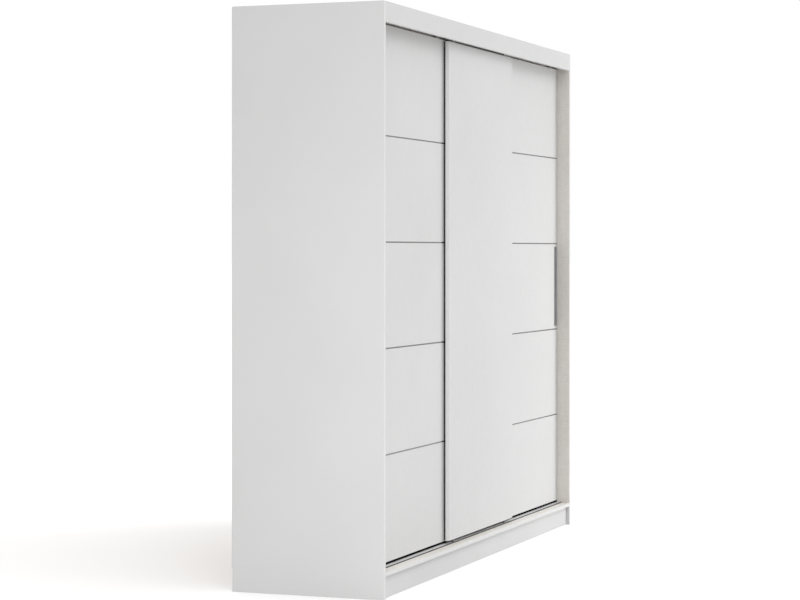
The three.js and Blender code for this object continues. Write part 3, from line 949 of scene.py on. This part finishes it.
def oblong_ring(node, offset, x):
    """An upright oblong round the rod's section, grown by an offset, at one place along it."""
    low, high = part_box(node)
    centre = (low + high) / 2
    half_width = (high.y - low.y) / 2
    radius = half_width + offset
    straight = (high.z - low.z) / 2 - half_width
    points = []
    for end, start in ((1, 0.0), (-1, 1.0)):
        for step in range(ROD_STEPS + 1):
            angle = math.pi * (start + step / ROD_STEPS)
            y = centre.y + radius * math.cos(angle)
            z = centre.z + end * straight + radius * math.sin(angle)
            points.append((x, y, z))
    return points


def make_hanging_rod(side):
    """An oblong tube with rounded ends."""
    node = f"hanging_rod_{side}"
    low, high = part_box(node)
    outline = (
        (-ROD_ROUNDING, low.x), (0, low.x + ROD_ROUNDING), (0, high.x - ROD_ROUNDING),
        (-ROD_ROUNDING, high.x), (-ROD_WALL, high.x), (-ROD_WALL, low.x),
    )
    bm = bmesh.new()
    add_rings(bm, [oblong_ring(node, offset, x) for offset, x in outline], closed=True)
    rod = make_piece(f"{node}_tube", bm, CHROME, "carcass")
    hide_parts(node)


def make_rod_cups(side):
    """A moulded cup at each end of a rod: a flange held by two screws, and a collar."""
    rod = f"hanging_rod_{side}"
    for end, inward in ((1, 1), (2, -1)):
        node = f"rod_cup_{side}_{end}"
        low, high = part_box(node)
        board = low.x if inward > 0 else high.x
        rings = [oblong_ring(rod, out * MM, board + inward * off * MM) for out, off in CUP_RINGS]
        bm = bmesh.new()
        add_rings(bm, rings)
        cup = make_piece(f"{node}_moulding", bm, GREY_PLASTIC, "carcass")
        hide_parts(node)
        screws = bmesh.new()
        for z in (low.z + CUP_SCREW_INSET, high.z - CUP_SCREW_INSET):
            place = (board + inward * CUP_FLANGE, (low.y + high.y) / 2, z)
            add_screw(screws, place, (inward, 0, 0), *CUP_SCREW)
        make_piece(f"{node}_screws", screws, STEEL, "carcass")


def make_screw_caps():
    """Domed cover caps where screws go through a partition into the shelves on its other side."""
    bm = bmesh.new()
    for side, outward in (("left", -1), ("right", 1)):
        low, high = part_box(f"partition_{side}")
        bay_face = low.x if outward < 0 else high.x
        middle_face = high.x if outward < 0 else low.x
        holes = [(shelf, bay_face, outward) for shelf in MIDDLE_SHELVES]
        holes.append((f"top_shelf_{side}", middle_face, -outward))
        for shelf, x, direction in holes:
            shelf_low, shelf_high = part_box(shelf)
            z = (shelf_low.z + shelf_high.z) / 2
            for y in (low.y + FIXING_INSET, high.y - FIXING_INSET):
                matrix = facing_matrix((x, y, z), (direction, 0, 0))
                add_turned(bm, matrix, CAP_SECTION, CAP_SIDES)
    make_piece("partition_screw_caps", bm, CAP_PLASTIC, "carcass")


def add_cam(bm, place):
    """The face of a cam lock that looks down: a rim, a sunk disc and a raised cross."""
    matrix = facing_matrix(place, DOWNWARD)
    add_turned(bm, matrix, CAM_SECTION, CAM_SIDES)
    middle = (0, 0, CAM_BAR_MIDDLE)
    add_bar(bm, matrix, middle, (CAM_BAR_LENGTH, CAM_BAR_WIDTH, CAM_BAR_DEPTH))
    add_bar(bm, matrix, middle, (CAM_BAR_WIDTH, CAM_BAR_LENGTH, CAM_BAR_DEPTH))


def make_cam_locks():
    """Cam locks in the underside of the top shelves and the top board, beside their end joints."""
    bm = bmesh.new()
    for board in TOP_SHELVES + ["top_board"]:
        low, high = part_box(board)
        for x in (low.x + CAM_INSET, high.x - CAM_INSET):
            for y in (low.y + FIXING_INSET + CAM_CLEAR, high.y - FIXING_INSET):
                add_cam(bm, (x, y, low.z))
    make_piece("cam_locks", bm, ZINC, "carcass")


def make_back_nails():
    """Nails through the back sheets into the carcass, the partitions and the shelves."""
    bm = bmesh.new()
    shelf_rows = [(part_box(shelf)[0].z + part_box(shelf)[1].z) / 2 for shelf in MIDDLE_SHELVES]
    top_row = (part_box("top_shelf_left")[0].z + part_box("top_shelf_left")[1].z) / 2
    for place in BACK_PLACES:
        low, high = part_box(f"back_panel_{place}")
        left, right = low.x + NAIL_INSET, high.x - NAIL_INSET
        bottom, top = low.z + NAIL_INSET, high.z - NAIL_INSET
        rows = shelf_rows if place == "middle" else [top_row]
        spots = [(x, z) for x in (left, right) for z in spread(bottom, top, NAIL_PITCH)]
        for z in [bottom, top] + rows:
            spots += [(x, z) for x in spread(left, right, NAIL_PITCH)[1:-1]]
        for x, z in spots:
            add_turned(bm, facing_matrix((x, high.y, z), BACKWARD), NAIL_SECTION, NAIL_SIDES)
    make_piece("back_nails", bm, STEEL, "carcass")


# ---------------------------------------------------------------- the whole

make_studio()
dress_carcass()
dress_doors()
dress_tracks()
make_track_shade_strips()
make_track_screws()
for door in DOORS:
    make_fitting_screws(door)
    for side in SIDES:
        make_wheel(door, side)
for door in SIDE_DOORS:
    make_pull(door)
    make_door_shade_seal(door)
make_gap_shade_seals()
for side in SIDES:
    make_hanging_rod(side)
    make_rod_cups(side)
make_screw_caps()
make_cam_locks()
make_back_nails()
